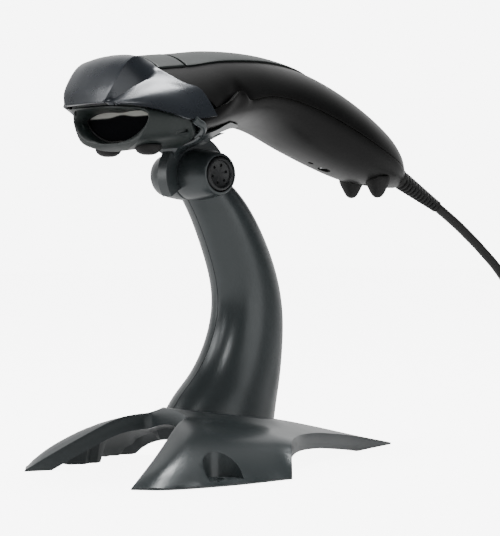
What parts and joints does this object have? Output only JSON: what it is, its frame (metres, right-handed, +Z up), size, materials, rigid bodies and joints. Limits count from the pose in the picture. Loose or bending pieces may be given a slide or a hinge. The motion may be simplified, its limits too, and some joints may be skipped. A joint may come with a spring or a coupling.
{
  "type": "handheld barcode scanner",
  "caption": "Corded handheld barcode scanner with a hooded window, resting in the tilting cradle of a curved-neck counter stand.",
  "frame": {"origin": "on the counter, under the middle of the stand and scanner, cord left out", "axes": "+Z up from the counter; the scanner's nose points to -Y and its cord leaves towards +Y; +X is the tension knob's side"},
  "size_m": [0.1194, 0.3586, 0.1693],
  "materials": {
    "stand_gunmetal": "satin gunmetal paint with fine metallic flake",
    "hood_gunmetal": "satin blue-grey gunmetal paint",
    "green_grey": "fine matt texture",
    "shell_black": "satin moulded black",
    "knob_dark": "moulded, satin",
    "rubber_black": "matt",
    "cord_black": "soft matt jacket",
    "window": "polished, tinted",
    "steel": "machined",
    "brass": "machined",
    "mirror": "first-surface mirror",
    "board": "solder mask over glass fibre laminate",
    "component": "moulded package",
    "copper": "enamelled copper winding",
    "white_plastic": "moulded connector housing"
  },
  "bodies": {
    "stand": {"base_shell": "stand_gunmetal", "foot_pad_left": "rubber_black", "foot_pad_right": "rubber_black", "foot_pad_rear": "rubber_black", "base_screw_front": "steel", "base_screw_rear": "steel", "neck_half_left": "stand_gunmetal", "neck_half_right": "stand_gunmetal", "neck_screw_lower": "steel", "neck_screw_upper": "steel", "pivot_bolt": "steel", "bolt_washer": "steel", "spring_washer": "steel", "tension_nut": "brass", "barrel_end_cap": "stand_gunmetal", "cord_run": "cord_black", "cord_coil": "cord_black", "cord_tail": "cord_black", "plug_grip": "cord_black", "plug_shell": "steel", "plug_tongue": "white_plastic"},
    "cradle": {"cradle": "stand_gunmetal"},
    "knob": {"tension_knob": "knob_dark"},
    "scanner": {"hood": "hood_gunmetal", "jaw_bezel": "green_grey", "scan_window": "window", "window_gasket": "rubber_black", "upper_shell": "shell_black", "lower_shell": "shell_black", "top_inlay": "green_grey", "chin_foot_left": "rubber_black", "chin_foot_right": "rubber_black", "tail_foot_left": "rubber_black", "tail_foot_right": "rubber_black", "housing_screw_front": "steel", "housing_screw_rear": "steel", "main_board": "board", "decoder_chip": "component", "trigger_switch": "component", "beeper": "component", "cable_socket": "white_plastic", "cable_plug": "white_plastic", "inner_lead": "cord_black", "strain_relief": "rubber_black", "optical_chassis": "component", "laser_module": "brass", "mirror_coil": "copper", "detector_board": "board", "detector_lens": "window"},
    "trigger": {"trigger_button": "green_grey", "switch_plunger": "white_plastic"},
    "mirror": {"scan_mirror": "mirror", "mirror_magnet": "steel"}
  },
  "joints": [
    {"name": "cradle_tilt", "type": "hinge", "parent": "stand", "child": "cradle", "pos_m": [0, -0.0295, 0.1186], "axis": [1, 0, 0], "range_deg": [-25, 30], "deforming": ["cord_run"]},
    {"name": "knob_turn", "type": "hinge", "parent": "stand", "child": "knob", "pos_m": [0, -0.0295, 0.1186], "axis": [1, 0, 0], "range_deg": [-180, 180]},
    {"name": "scanner_lift", "type": "slide", "parent": "cradle", "child": "scanner", "axis": [0, 0, 1], "range_m": [0, 0.06], "deforming": ["cord_run"]},
    {"name": "trigger_press", "type": "slide", "parent": "scanner", "child": "trigger", "axis": [0, 0, -1], "range_m": [0, 0.0012], "stiffness_N_per_m": 400},
    {"name": "mirror_scan", "type": "hinge", "parent": "scanner", "child": "mirror", "pos_m": [0, -0.0474, 0.1414], "axis": [0, 0, 1], "range_deg": [-12, 12], "stiffness_Nm_per_rad": 0.0005}
  ]
}
